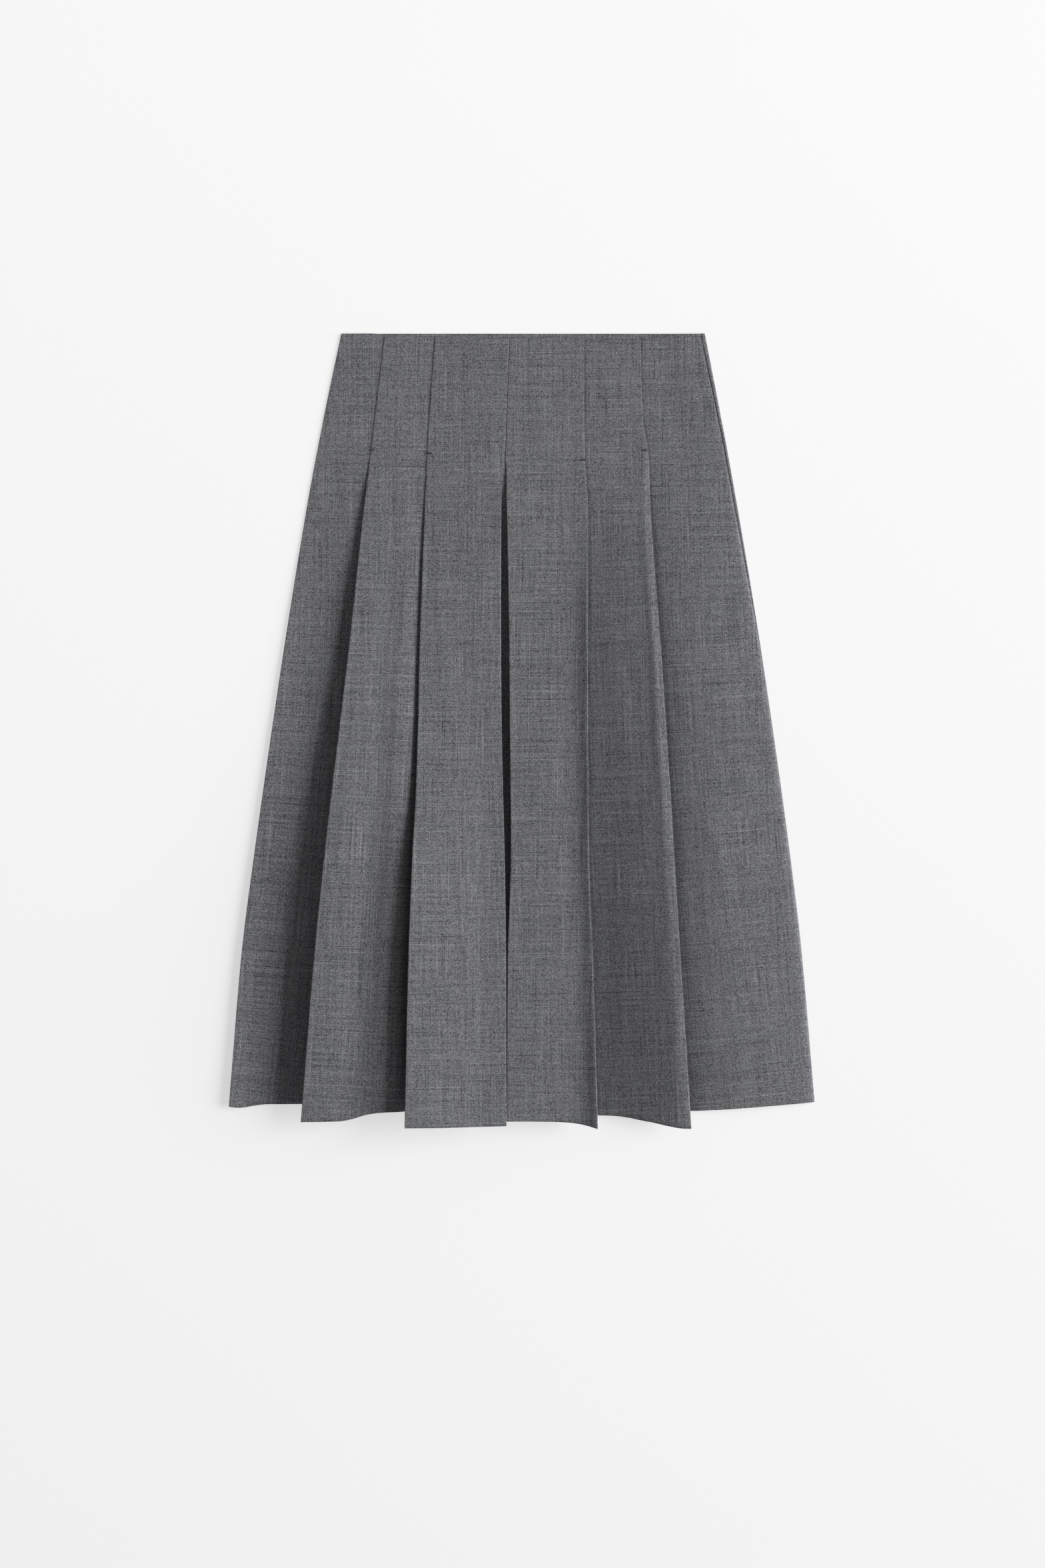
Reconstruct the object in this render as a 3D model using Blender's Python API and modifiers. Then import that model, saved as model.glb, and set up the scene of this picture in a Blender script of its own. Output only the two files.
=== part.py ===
"""Pleated midi skirt, laid flat on its back.

Metres, +Z up. Seen from above, +X is to the right and +Y runs from the hem to the waist. The back
lies on the surface, and the front lies on it: six gores and a pleat underlay, whose edges meet on
the inner folds of two knife pleats each side and of an inverted pleat between them. The pleats are
sewn shut near the waist, and stand up from the skirt below that.
"""

import math

import bpy
from mathutils import Vector

MM = 0.001

# Cloth: the wall of every piece, and the height from one lying layer to the next
WALL = 1.0 * MM
GAP = 0.3 * MM
LAYER = WALL + GAP
ON_BACK = 1.5 * WALL + GAP

# The skirt's length at its longest
LENGTH = 785 * MM

# Where each line runs, in mm right of the middle, at these distances down from the waist in mm
LEVELS = (0, 120, 170, 320, 520, 630, 785)
LINES = {
    "side_left": (-178.9, -202.9, -211.9, -235.5, -263.6, -277.2, -289.5),
    "pleat_1": (-137.6, -151.5, -157.1, -172.5, -195.1, -205.8, -218.0),
    "pleat_2": (-86.8, -94.7, -96.4, -101.5, -108.5, -112.6, -115.5),
    "centre_left": (-13.0, -17.7, -20.9, -21.5, -18.2, -15.7, -15.8),
    "pleat_3": (60.7, 61.7, 64.5, 64.2, 65.4, 69.3, 73.8),
    "pleat_4": (116.2, 124.1, 125.8, 136.5, 148.8, 155.8, 165.6),
    "side_right": (180.2, 202.6, 211.2, 235.3, 262.9, 275.7, 288.6),
}

# In mm at the same distances: how wide the inverted pleat stands open, between its two folds, and
# how far the front's right edge is set in from the outline
MIDDLE_OPENING = (0.3, 0.6, 5.2, 7.6, 5.9, 1.0, 0.3)
SEAM_INSET = (4.4, 2.8, 3.0, 0.6, 0.0, 0.0, 0.0)

# How high each line stands above its lying layers, in mm, at these distances down from the waist.
# The pleats are sewn shut over the first 120 mm
LIFT_LEVELS = (0, 120, 170, 250, 320, 385, 455, 520, 600, 680, 785)
LIFTS = {
    "side_left": (0, 0, 0, 0.8, 1.8, 2.4, 3.1, 4, 5, 6, 7),
    "pleat_1": (0, 0, 2.4, 7.4, 11.6, 15.5, 20.5, 24.5, 27.3, 27.5, 25.5),
    "pleat_2": (0, 0, 2.2, 7, 11, 15.5, 22.5, 33, 41, 43.5, 42),
    "centre_left": (0, 0, 4, 8, 10.5, 13.5, 18, 26, 33.5, 37, 36.5),
    "centre_right": (0, 0, 4, 7, 8.6, 10.6, 12.8, 15.8, 19.5, 22, 22),
    "pleat_3": (0, 0, 4.4, 10, 12.6, 14.6, 17.2, 20.2, 23.5, 26.5, 27.5),
    "pleat_4": (0, 0, 2.8, 7.4, 10.6, 13.4, 16.4, 19.2, 22.5, 25, 24),
    "side_right": (0, 0.3, 1.8, 3.4, 4.2, 4.8, 5.2, 5.5, 5.7, 5.7, 5.4),
}

# The outer folds: the way each faces (-1 left, 1 right), the two lines of its panel, its depth as a
# share of that panel, and its return's hem in mm
OUTER_FOLDS = {
    "pleat_1": (-1, ("pleat_1", "pleat_2"), 0.36, 763),
    "pleat_2": (-1, ("pleat_2", "centre_left"), 0.36, 769),
    "centre_left": (1, ("pleat_2", "centre_left"), 0.34, 771),
    "centre_right": (-1, ("centre_right", "pleat_3"), 0.34, 771),
    "pleat_3": (1, ("centre_right", "pleat_3"), 0.36, 774),
    "pleat_4": (1, ("pleat_3", "pleat_4"), 0.36, 770),
}

# The front's waist edge dips below the back's: distance right of the middle and drop, in mm
WAIST_DIP = ((-146, 0), (-138, 1.8), (-87, 4.3), (-15, 5.0), (80, 5.0), (122, 4.2), (146, 0.4), (181, 0.3))

# Each gore: its left and right lines, and its face, a row for each place across it from the left
# line (0) to the right (1): share across, layers it lies on, shares of the left line's lift and of
# the right line's, and where that thread ends at the hem in mm
GORES = {
    "front_side_left": (
        ("side_left", "pleat_1"),
        (
            (0.00, 0, 0.00, 0, 763.0),
            (0.02, 0, 0.97, 0, 763.2),
            (0.06, 0, 0.91, 0, 763.7),
            (0.14, 0, 0.71, 0, 764.2),
            (0.22, 0, 0.53, 0, 763.8),
            (0.31, 0, 0.43, 0, 762.6),
            (0.52, 0, 0.33, 0, 761.0),
            (0.76, 0, 0.18, 0, 761.0),
            (1.00, 0, 0.00, 0, 761.0),
        ),
    ),
    "front_panel_left": (
        ("pleat_1", "pleat_2"),
        (
            (0.00, 2.0, 1.00, 0, 776.0),
            (0.14, 2.0, 1.00, 0, 775.8),
            (0.28, 1.9, 0.98, 0, 775.6),
            (0.40, 1.8, 0.93, 0, 775.0),
            (0.50, 1.6, 0.895, 0, 772.8),
            (0.62, 1.25, 0.91, 0, 769.2),
            (0.74, 0.75, 0.97, 0, 767.2),
            (0.87, 0.3, 0.95, 0, 766.6),
            (0.94, 0.15, 0.84, 0, 766.6),
            (1.00, 0.0, 0.60, 0, 766.6),
        ),
    ),
    "front_centre_left": (
        ("pleat_2", "centre_left"),
        (
            (0.00, 2, 1.00, 0.00, 780.2),
            (0.30, 2, 0.68, 0.32, 780.2),
            (0.58, 2, 0.34, 0.65, 779.6),
            (0.80, 2, 0.09, 0.89, 779.2),
            (1.00, 2, 0.00, 1.00, 778.7),
        ),
    ),
    "front_centre_right": (
        ("centre_right", "pleat_3"),
        (
            (0.00, 2, 1.00, 0.00, 775.8),
            (0.25, 2, 1.00, 0.00, 775.8),
            (0.50, 2, 0.985, 0.015, 776.0),
            (0.70, 2, 0.975, 0.025, 777.0),
            (0.83, 2, 0.90, 0.10, 778.6),
            (0.92, 2, 0.62, 0.39, 780.4),
            (1.00, 2, 0.00, 1.00, 782.4),
        ),
    ),
    "front_panel_right": (
        ("pleat_3", "pleat_4"),
        (
            (0.00, 0.0, 0, 0.12, 771.9),
            (0.18, 0.4, 0, 0.26, 772.0),
            (0.34, 0.9, 0, 0.43, 773.4),
            (0.50, 1.4, 0, 0.60, 776.0),
            (0.60, 1.7, 0, 0.70, 777.4),
            (0.76, 1.9, 0, 0.86, 780.4),
            (0.91, 2.0, 0, 1.00, 782.6),
            (1.00, 2.0, 0, 1.00, 782.7),
        ),
    ),
    "front_side_right": (
        ("pleat_4", "side_right"),
        (
            (0.00, 0, 0, 0.00, 767.9),
            (0.07, 0, 0, 0.36, 767.5),
            (0.14, 0, 0, 0.60, 767.0),
            (0.25, 0, 0, 0.85, 766.2),
            (0.40, 0, 0, 1.00, 764.9),
            (0.80, 0, 0, 0.84, 761.0),
            (0.94, 0, 0, 0.70, 759.5),
            (1.00, 0, 0, 0.00, 758.8),
        ),
    ),
}
UNDERLAY_HEM = 771 * MM

# The back's hem stays behind the front's: its length in the middle, and its rise at the sides
BACK_LENGTH = 762 * MM
BACK_RISE = 3.5 * MM
BACK_COLUMNS = 12

# The waist facing inside the back, and the tape of the concealed zip in the right side seam
FACING_DEPTH = 35 * MM
FACING_FROM_SIDE = 23 * MM
ZIP_LENGTH = 190 * MM
ZIP_WIDTH = 14 * MM
ZIP_FROM_SEAM = 1.5 * MM

# Rows of the mesh down the skirt, closer where the pleats open, and across one turn of a fold
ROWS = (0, 45, 90, 120, 145, 170, 215, 265, 320, 385, 455, 520, 575, 630, 685, 735, 785)
TURN_DEGREES = (45, 90, 135, 180)

CLOTH_GREY = (0.14, 0.143, 0.153, 1.0)
TAPE_GREY = (0.08, 0.08, 0.09, 1.0)


def smooth_through(places, values, place):
    """A smooth curve through the values at the given places, which never overshoots them."""
    if place <= places[0]:
        return values[0]
    if place >= places[-1]:
        return values[-1]
    steps = [b - a for a, b in zip(places, places[1:])]
    slopes = [(b - a) / step for a, b, step in zip(values, values[1:], steps)]
    i = max(k for k in range(len(steps)) if places[k] <= place)

    def tangent(k):
        if k == 0 or k == len(steps):
            return slopes[min(k, len(steps) - 1)]
        before, after = slopes[k - 1], slopes[k]
        return 0.0 if before * after <= 0 else 2 * before * after / (before + after)

    t = (place - places[i]) / steps[i]
    start = (1 + 2 * t) * (1 - t) ** 2 * values[i] + t * (1 - t) ** 2 * steps[i] * tangent(i)
    end = t * t * (3 - 2 * t) * values[i + 1] - t * t * (1 - t) * steps[i] * tangent(i + 1)
    return start + end


def fade(distance, clear, run):
    """1 up to the distance clear, then down to 0 over the distance run."""
    t = min(1.0, max(0.0, (distance - clear) / run))
    return 1 - t * t * (3 - 2 * t)


def line_at(name, level):
    """Where a line runs at a distance down from the waist."""
    if name == "centre_right":
        return line_at("centre_left", level) + smooth_through(LEVELS, MIDDLE_OPENING, level / MM) * MM
    return smooth_through(LEVELS, LINES[name], level / MM) * MM


def seam_at(level):
    """The front's right edge, a little inside the outline."""
    return line_at("side_right", level) - smooth_through(LEVELS, SEAM_INSET, level / MM) * MM


def lift_at(name, level):
    """Height of a line above its lying layers."""
    return smooth_through(LIFT_LEVELS, LIFTS[name], level / MM) * MM


def inner_fold(name, level):
    """Where two gores meet inside a pleat, under the panel that ends on its outer fold."""
    side, (left, right), share, _ = OUTER_FOLDS[name]
    return line_at(name, level) - side * share * (line_at(right, level) - line_at(left, level))


def rest_height(x, level):
    """Height of the front's lowest layer, which lies on the back, the facing or the zip tape."""
    facing_left = line_at("side_left", level) + FACING_FROM_SIDE
    facing_right = line_at("side_right", level) - FACING_FROM_SIDE
    past_facing = max(facing_left - x, x - facing_right, 0)
    on_facing = fade(level, FACING_DEPTH + 10 * MM, 50 * MM) * fade(past_facing, 3 * MM, 15 * MM)
    past_zip = max(seam_at(level) - ZIP_FROM_SEAM - ZIP_WIDTH - x, 0)
    on_zip = fade(level, ZIP_LENGTH + 25 * MM, 50 * MM) * fade(past_zip, 3 * MM, 30 * MM)
    return ON_BACK + LAYER * max(on_facing, on_zip)


def cloth_point(x, z, level, hem):
    """A point of the front: hem is how far down this thread ends, level how far along it this is."""
    places, drops = zip(*WAIST_DIP)
    waist = smooth_through(places, drops, x / MM) * MM
    return Vector((x, -waist - (hem - waist) * level / LENGTH, z))


def face_points(gore, level):
    """The face of a gore across one level, from its left line to its right."""
    (left, right), rows = GORES[gore]
    start = line_at(left, level)
    end = seam_at(level) if right == "side_right" else line_at(right, level)
    fold_room = WALL / 2 + LAYER / 2
    if rows[0][1]:
        start += fold_room
    if rows[-1][1]:
        end -= fold_room
    points = []
    for share, layers, left_share, right_share, hem in rows:
        x = start + (end - start) * share
        lift = left_share * lift_at(left, level) + right_share * lift_at(right, level)
        points.append(cloth_point(x, rest_height(x, level) + layers * LAYER + lift, level, hem * MM))
    return points


def end_points(line, edge, lies_on_top, level, hem):
    """What a gore has past its line: an outer fold and the return under it, or a flat underlay."""
    if line not in OUTER_FOLDS:
        return []
    side, _, _, return_hem = OUTER_FOLDS[line]
    inner = inner_fold(line, level)
    rest = rest_height(inner, level)
    if not lies_on_top:
        return [cloth_point(inner, rest, level, hem)]
    radius = LAYER / 2
    turned = [
        edge + Vector((side * radius * math.sin(turn), 0, radius * (math.cos(turn) - 1)))
        for turn in map(math.radians, TURN_DEGREES)
    ]
    inner_edge = cloth_point(inner, rest + LAYER, level, return_hem * MM)
    return turned + [turned[-1].lerp(inner_edge, 0.5), inner_edge]


def gore_row(gore, level):
    """All of a gore across one level."""
    (left, right), rows = GORES[gore]
    face = face_points(gore, level)
    before = end_points(left, face[0], rows[0][1] > 0, level, rows[0][4] * MM)
    after = end_points(right, face[-1], rows[-1][1] > 0, level, rows[-1][4] * MM)
    return before[::-1] + face + after


def underlay_row(level):
    """The underlay of the inverted pleat across one level."""
    ends = [inner_fold(name, level) for name in ("centre_left", "centre_right")]
    places = [ends[0], sum(ends) / 2, ends[1]]
    return [cloth_point(x, rest_height(x, level), level, UNDERLAY_HEM) for x in places]


def back_row(level):
    """The plain back across one level."""
    left, right = line_at("side_left", level), line_at("side_right", level)
    points = []
    for i in range(BACK_COLUMNS + 1):
        side = 2 * i / BACK_COLUMNS - 1
        length = BACK_LENGTH - BACK_RISE * side * side
        x = left + (right - left) * i / BACK_COLUMNS
        points.append(Vector((x, -length * level / LENGTH, WALL / 2)))
    return points


def facing_row(depth):
    """The back's waist facing across one depth below the waist."""
    left = line_at("side_left", depth) + FACING_FROM_SIDE
    right = line_at("side_right", depth) - FACING_FROM_SIDE
    places = [left + (right - left) * i / BACK_COLUMNS for i in range(BACK_COLUMNS + 1)]
    return [Vector((x, -depth, ON_BACK)) for x in places]


def tape_row(depth):
    """The zip's tape across one depth below the waist."""
    edge = seam_at(depth) - ZIP_FROM_SEAM
    return [Vector((x, -depth, ON_BACK)) for x in (edge - ZIP_WIDTH, edge)]


def make_material(name, colour, roughness):
    material = bpy.data.materials.new(name)
    material.use_nodes = True
    shader = material.node_tree.nodes["Principled BSDF"]
    shader.inputs["Base Color"].default_value = colour
    shader.inputs["Roughness"].default_value = roughness
    shader.inputs["Metallic"].default_value = 0.0
    return material


def make_cloth(name, rows, material, collection):
    """A piece of cloth: a surface lofted through its rows, with a wall of even thickness round it."""
    across = len(rows[0])
    points = [tuple(point) for row in rows for point in row]
    faces = [
        (i * across + j, (i + 1) * across + j, (i + 1) * across + j + 1, i * across + j + 1)
        for i in range(len(rows) - 1)
        for j in range(across - 1)
    ]
    mesh = bpy.data.meshes.new(name)
    mesh.from_pydata(points, [], faces)
    mesh.shade_smooth()
    piece = bpy.data.objects.new(name, mesh)
    collection.objects.link(piece)
    mesh.materials.append(material)
    wall = piece.modifiers.new("wall", "SOLIDIFY")
    wall.thickness = WALL
    wall.offset = 0.0
    wall.use_even_offset = True
    return piece


def stand_on_origin(pieces):
    """Move the skirt so that the middle of its underside's box is at the origin."""
    bpy.context.view_layer.update()
    graph = bpy.context.evaluated_depsgraph_get()
    corners = [
        piece.matrix_world @ Vector(corner) for piece in pieces for corner in piece.evaluated_get(graph).bound_box
    ]
    low = [min(corner[axis] for corner in corners) for axis in range(3)]
    high = [max(corner[axis] for corner in corners) for axis in range(3)]
    middle = Vector(((low[0] + high[0]) / 2, (low[1] + high[1]) / 2, low[2]))
    for piece in pieces:
        piece.location -= middle


def main():
    for old in list(bpy.data.objects):
        bpy.data.objects.remove(old)
    collection = bpy.data.collections.new("pleated_midi_skirt")
    bpy.context.scene.collection.children.link(collection)
    cloth = make_material("wool_cloth", CLOTH_GREY, 0.9)
    tape = make_material("zip_tape", TAPE_GREY, 0.8)

    levels = [row * MM for row in ROWS]
    pieces = [make_cloth(gore, [gore_row(gore, level) for level in levels], cloth, collection) for gore in GORES]
    pieces.append(make_cloth("front_pleat_underlay", [underlay_row(level) for level in levels], cloth, collection))
    pieces.append(make_cloth("back", [back_row(level) for level in levels], cloth, collection))
    depths = [FACING_DEPTH * share for share in (0, 0.5, 1)]
    pieces.append(make_cloth("back_waist_facing", [facing_row(depth) for depth in depths], cloth, collection))
    depths = [ZIP_LENGTH * share for share in (0, 0.25, 0.5, 0.75, 1)]
    pieces.append(make_cloth("side_zip", [tape_row(depth) for depth in depths], tape, collection))
    stand_on_origin(pieces)


main()
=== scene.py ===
import math

import bpy
import numpy as np
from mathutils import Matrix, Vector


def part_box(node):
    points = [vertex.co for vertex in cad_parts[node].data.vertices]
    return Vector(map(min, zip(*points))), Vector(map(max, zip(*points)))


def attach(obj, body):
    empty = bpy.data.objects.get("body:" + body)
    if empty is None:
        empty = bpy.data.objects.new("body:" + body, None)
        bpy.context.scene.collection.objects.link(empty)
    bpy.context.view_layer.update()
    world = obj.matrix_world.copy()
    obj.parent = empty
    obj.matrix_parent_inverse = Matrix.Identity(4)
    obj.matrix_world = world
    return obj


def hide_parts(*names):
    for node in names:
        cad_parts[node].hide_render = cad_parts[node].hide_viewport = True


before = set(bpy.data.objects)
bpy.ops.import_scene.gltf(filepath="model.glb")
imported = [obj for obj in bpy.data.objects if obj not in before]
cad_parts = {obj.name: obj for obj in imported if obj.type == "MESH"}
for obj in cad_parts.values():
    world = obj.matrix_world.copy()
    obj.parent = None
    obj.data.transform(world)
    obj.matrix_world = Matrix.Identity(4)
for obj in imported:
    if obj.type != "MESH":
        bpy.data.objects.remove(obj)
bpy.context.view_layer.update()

# The surface.
# A wide white table that the skirt is laid on, front up. It is matt and plain, and glows a little with
# painted light, so that the cloth's shadows on it stay pale.

MM = 0.001
TABLE_SIDE = 9.0
TABLE_WHITE = (0.374, 0.376, 0.379, 1.0)
# How strongly the surface glows with painted light, a little brighter toward the waist, at two distances
# along it, in metres toward the waist
GLOW_NEAR_HEM = 0.545
GLOW_NEAR_WAIST = 0.60
GLOW_FROM = -0.8
GLOW_TO = 0.65


def new_material(name, colour, roughness):
    """A plain matt finish, and its shader for whatever is added to it."""
    material = bpy.data.materials.new(name)
    material.use_nodes = True
    shader = material.node_tree.nodes["Principled BSDF"]
    shader.inputs["Base Color"].default_value = colour
    shader.inputs["Roughness"].default_value = roughness
    return material, shader


def new_piece(name, mesh, material):
    """Put a finished mesh in the scene as a piece of its own."""
    piece = bpy.data.objects.new(name, mesh)
    bpy.context.scene.collection.objects.link(piece)
    mesh.materials.append(material)
    return piece


table_mesh = bpy.data.meshes.new("table_top")
half_table = TABLE_SIDE / 2
table_corners = [(x * half_table, y * half_table, 0) for x, y in ((-1, -1), (1, -1), (1, 1), (-1, 1))]
table_mesh.from_pydata(table_corners, [], [(0, 1, 2, 3)])
table_finish, table_shader = new_material("table_white", TABLE_WHITE, roughness=0.9)
# Painted light: the table's emission, which pales the shadows on it and grows toward the waist
table_shader.inputs["Emission Color"].default_value = (1.0, 1.0, 1.0, 1.0)
table_shader.inputs["Emission Strength"].default_value = 1.0
table_nodes = table_finish.node_tree.nodes
table_place = table_nodes.new("ShaderNodeTexCoord")
table_across = table_nodes.new("ShaderNodeSeparateXYZ")
table_glow = table_nodes.new("ShaderNodeMapRange")
table_glow.inputs["From Min"].default_value = GLOW_FROM
table_glow.inputs["From Max"].default_value = GLOW_TO
table_glow.inputs["To Min"].default_value = GLOW_NEAR_HEM
table_glow.inputs["To Max"].default_value = GLOW_NEAR_WAIST
table_finish.node_tree.links.new(table_place.outputs["Object"], table_across.inputs["Vector"])
table_finish.node_tree.links.new(table_across.outputs["Y"], table_glow.inputs["Value"])
table_finish.node_tree.links.new(table_glow.outputs["Result"], table_shader.inputs["Emission Color"])
table_top = new_piece("table_top", table_mesh, table_finish)

# The back.
# A plain panel of wool suiting, cut along the grain. It lies flat on the surface, and near the
# waist its right edge rolls up over the side seam, so that a few millimetres of it show from above.

# Where each line of the skirt runs, in mm right of the middle, at these distances down from the waist
LEVELS = (0, 75, 120, 130, 170, 250, 320, 385, 455, 520, 630, 785)
LINES = {
    "side_left": (
        -179, -194.3, -202.9, -204.8, -211.9, -224.8, -235.5, -245, -254.8, -263.6, -277.2, -289.5
    ),
    "pleat_1": (
        -136.5, -145.2, -150.4, -151.6, -156.3, -164.6, -171.8, -179.2, -187.2, -194.3, -205, -217.2
    ),
    "pleat_2": (-86.8, -92.1, -94.7, -95.1, -96.6, -99.6, -101.7, -102.9, -104.8, -108.0, -111.7, -114.8),
    "centre_left": (-13.0, -15.8, -17.7, -18.9, -20.9, -21.2, -21.1, -20.6, -19.1, -17.5, -16.0, -15.8),
    "pleat_3": (60.7, 61.2, 61.7, 62.3, 64.5, 64.3, 64.2, 64.4, 64.8, 65.4, 69.3, 73.8),
    "pleat_4": (116.8, 118.5, 124.8, 125.2, 126.5, 131.8, 137.0, 141.1, 145.6, 149.4, 155.9, 165.6),
    "side_right": (180.2, 194.3, 202.6, 204.3, 211.2, 224.4, 235.3, 244.7, 254.4, 262.9, 275.7, 288.6),
}
# How far the inverted pleat in the middle stands open, and how far inside the outline the front's
# right edge lies, in mm at the same distances
MIDDLE_OPENING = (0.3, 0.4, 0.6, 2.9, 5.2, 7.1, 7.9, 8.0, 7.1, 5.9, 1.2, 0.3)
SEAM_INSET = (4.4, 3.2, 2.8, 2.8, 3.0, 1.8, 0.6, 0.3, 0.1, 0.0, 0.0, 0.0)
LENGTH = 785 * MM
MIDDLE_X = 0.66 * MM
WAIST_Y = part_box("back")[1][1]

# The cloth, and the hem where it is turned up and so a little thicker
CLOTH = 0.5 * MM
HEM_CLOTH = 0.8 * MM
HEM_DEPTH = 40 * MM
HEM_FADE = 6 * MM
ROW_STEP = 3 * MM
# The back's flat part: its columns, its length, how far its hem curves up, its left edge's upturn
BACK_STEP = 5 * MM
BACK_REACH = 600 * MM
BACK_LENGTH = 762 * MM
BACK_RISE = 3.5 * MM
EDGE_WIDTH = 4 * MM
EDGE_SHARES = (0, 0.12, 0.3, 0.6, 1.0)
EDGE_UPTURN = 0.35 * MM
UPTURN_WIDTH = 2 * MM
# The back's roll over the right seam: its half height, and how it meets the front's edge
ROLL_HALF = 1.2 * MM
ROLL_ROOM = 0.05 * MM
ROLL_LIFT = 0.3 * MM
ROLL_FADE = 2 * MM
ROLL_TURNS = (-60, -30, 0, 30, 60, 90)
ROLL_RUN = (0.35, 0.7, 0.9, 1.0)
ROLL_DIPS = (0, 0, 0.1, 0.45)
ROLL_OVERLAP = 0.35 * MM
# The front lies this high, and rises over the waist facing and the zip: how far, and where each
# rise starts to fade and over what distance it does
ON_BACK = 1.4 * MM
FACING_INSET = 23 * MM
OVER_FACING = 0.4 * MM
FACING_FADE_DOWN = (45 * MM, 50 * MM)
FACING_FADE_ACROSS = (3 * MM, 15 * MM)
OVER_ZIP = 1.2 * MM
ZIP_REACH = 15.5 * MM
ZIP_FADE_DOWN = (215 * MM, 50 * MM)
ZIP_FADE_ACROSS = (3 * MM, 30 * MM)


def through(places, values, at):
    """A smooth curve through the values at their places, which never overshoots them."""
    places = np.asarray(places, float)
    values = np.asarray(values, float)
    steps = np.diff(places)
    slopes = np.diff(values) / steps
    before, after = slopes[:-1], slopes[1:]
    same_way = before * after > 0
    inner = np.where(same_way, 2 * before * after / np.where(same_way, before + after, 1.0), 0.0)
    tangents = np.concatenate((slopes[:1], inner, slopes[-1:]))
    at = np.clip(at, places[0], places[-1])
    i = np.clip(np.searchsorted(places, at, side="right") - 1, 0, len(steps) - 1)
    t = (at - places[i]) / steps[i]
    start = (1 + 2 * t) * (1 - t) ** 2 * values[i] + t * (1 - t) ** 2 * steps[i] * tangents[i]
    end = t * t * (3 - 2 * t) * values[i + 1] - t * t * (1 - t) * steps[i] * tangents[i + 1]
    return start + end


def soft_step(value):
    """0 below 0, 1 above 1, and a soft rise between."""
    t = np.clip(value, 0.0, 1.0)
    return t * t * (3 - 2 * t)


def fade_out(distance, start, width):
    """1 up to a distance, then a soft fall to 0."""
    return 1 - soft_step((distance - start) / width)


def line_at(name, level):
    """Where a line runs at a distance down from the waist."""
    if name == "centre_right":
        return line_at("centre_left", level) + through(LEVELS, MIDDLE_OPENING, level / MM) * MM
    return through(LEVELS, LINES[name], level / MM) * MM + MIDDLE_X


def seam_at(level):
    """The front's right edge, a little inside the outline near the waist."""
    return line_at("side_right", level) - through(LEVELS, SEAM_INSET, level / MM) * MM


def make_cloth(name, points, grain, replaced, thickness=CLOTH, hem_thickness=HEM_CLOTH):
    """A sheet of cloth through a grid of points, rows by columns, with a wall and a thicker hem."""
    rows, columns = points.shape[:2]
    corner = np.arange((rows - 1) * columns).reshape(rows - 1, columns)[:, :-1].ravel()
    faces = np.stack((corner, corner + columns, corner + columns + 1, corner + 1), axis=1)
    mesh = bpy.data.meshes.new(name)
    mesh.from_pydata(points.reshape(-1, 3).tolist(), [], faces.tolist())
    grain_map = mesh.uv_layers.new(name="grain")
    grain_map.data.foreach_set("uv", grain.reshape(-1, 2)[faces.ravel()].astype(np.float32).ravel())
    mesh.shade_smooth()
    piece = new_piece(name, mesh, wool_cloth)
    turn_up = piece.vertex_groups.new(name="turn_up")
    for row in range(rows):
        hem_share = float(soft_step((row * ROW_STEP - (LENGTH - HEM_DEPTH)) / HEM_FADE))
        turn_up.add(list(range(row * columns, (row + 1) * columns)), hem_share, "REPLACE")
    wall = piece.modifiers.new("wall", "SOLIDIFY")
    wall.thickness = hem_thickness
    wall.offset = 0.0
    wall.use_even_offset = replaced not in ("back", "front_side_left")
    wall.vertex_group = "turn_up"
    wall.thickness_vertex_group = thickness / hem_thickness
    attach(piece, "root")
    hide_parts(replaced)
    return piece


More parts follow.
